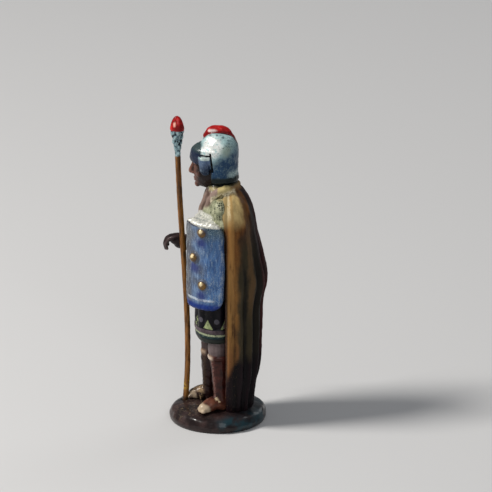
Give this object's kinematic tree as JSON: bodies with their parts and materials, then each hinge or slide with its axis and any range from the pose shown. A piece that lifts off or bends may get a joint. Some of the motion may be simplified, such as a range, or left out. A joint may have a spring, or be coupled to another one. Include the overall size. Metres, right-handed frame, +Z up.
{
  "type": "roman soldier statue",
  "caption": "Small painted standing figure of a Roman soldier on a round base, with helmet, cape, shield and wire spear.",
  "frame": {"origin": "centre of the round base's underside", "axes": "+Z up along the figure's height, the soldier faces -Y, the shield arm is at +X and the spear arm at -X"},
  "size_m": [0.0147, 0.0162, 0.048],
  "materials": {
    "painted_casting": "gloss enamel in ochre, steel blue, silver, red and dark brown over a solid casting, with dark washes in the hollows",
    "painted_wire": "ochre gloss enamel on bent wire, with a silver and red head"
  },
  "bodies": {
    "root": {"soldier": "painted_casting", "spear": "painted_wire"}
  },
  "joints": []
}
